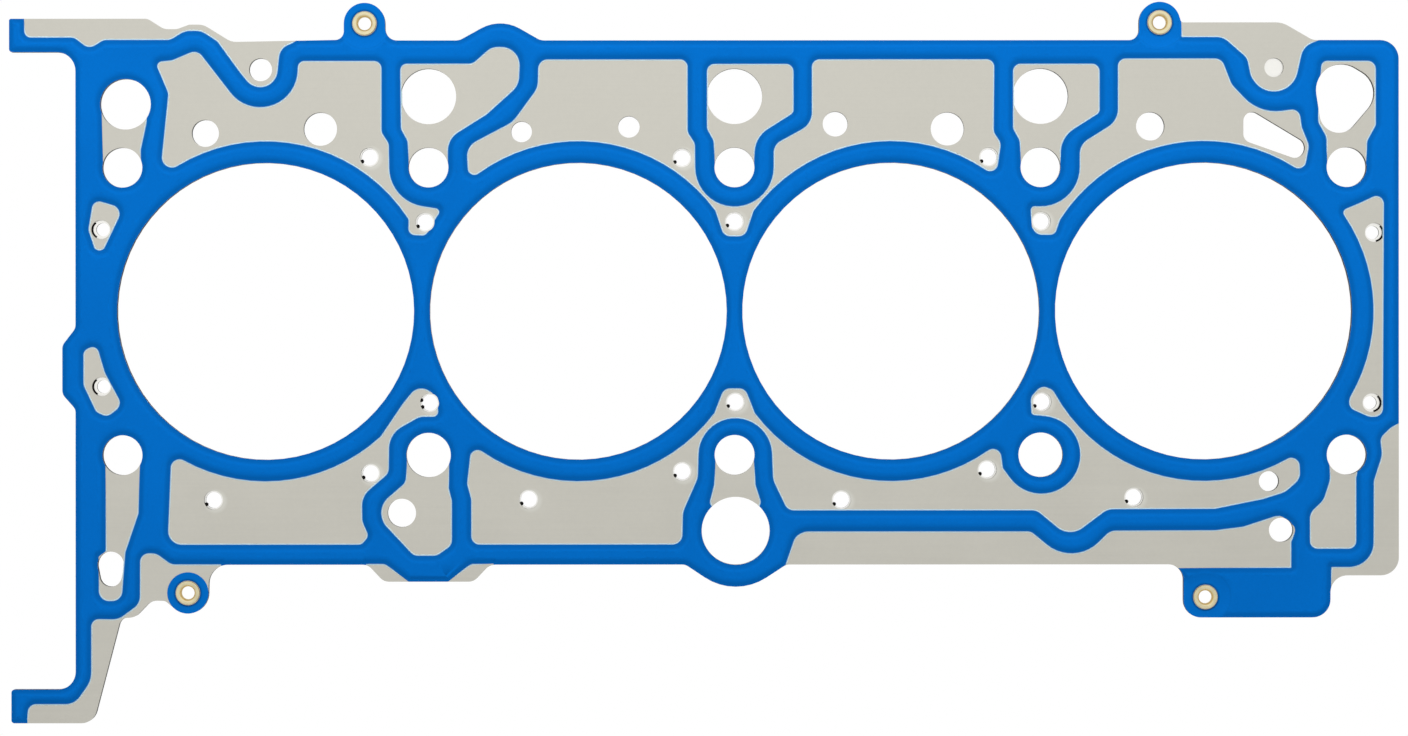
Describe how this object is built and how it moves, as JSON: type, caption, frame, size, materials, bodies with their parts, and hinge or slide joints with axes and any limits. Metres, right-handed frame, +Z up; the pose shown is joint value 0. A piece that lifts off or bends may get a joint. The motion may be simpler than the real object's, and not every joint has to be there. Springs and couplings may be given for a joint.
{
  "type": "cylinder head gasket",
  "caption": "Flat multi-layer steel gasket with cylinder openings in a row, beaded sheets, printed blue seal lines, bolt, oil and coolant holes and riveted ears.",
  "frame": {"origin": "in the middle web of the row of openings, on the plane that the gasket rests on", "axes": "+X along the row of cylinder openings, away from the tongued end; +Y across it, towards the side with the three large oil drains; +Z up, away from the block"},
  "size_m": [0.4, 0.2076, 0.0018],
  "materials": {
    "spring_steel": "satin rolled, bare",
    "carrier_steel": "satin rolled, bare",
    "stopper_steel": "satin rolled, bare",
    "seal_print": "satin blue screen-printed elastomer",
    "eyelet_brass": "bright rolled"
  },
  "bodies": {
    "root": {"upper_bead_layer": "spring_steel", "upper_seal_coating": "seal_print", "upper_seal_patch": "seal_print", "carrier_layer": "carrier_steel", "stopper_ring_1": "stopper_steel", "stopper_ring_2": "stopper_steel", "stopper_ring_3": "stopper_steel", "stopper_ring_4": "stopper_steel", "lower_bead_layer": "spring_steel", "lower_seal_coating": "seal_print", "lower_seal_patch": "seal_print", "eyelet_1": "eyelet_brass", "eyelet_2": "eyelet_brass", "eyelet_3": "eyelet_brass", "eyelet_4": "eyelet_brass"}
  },
  "joints": []
}
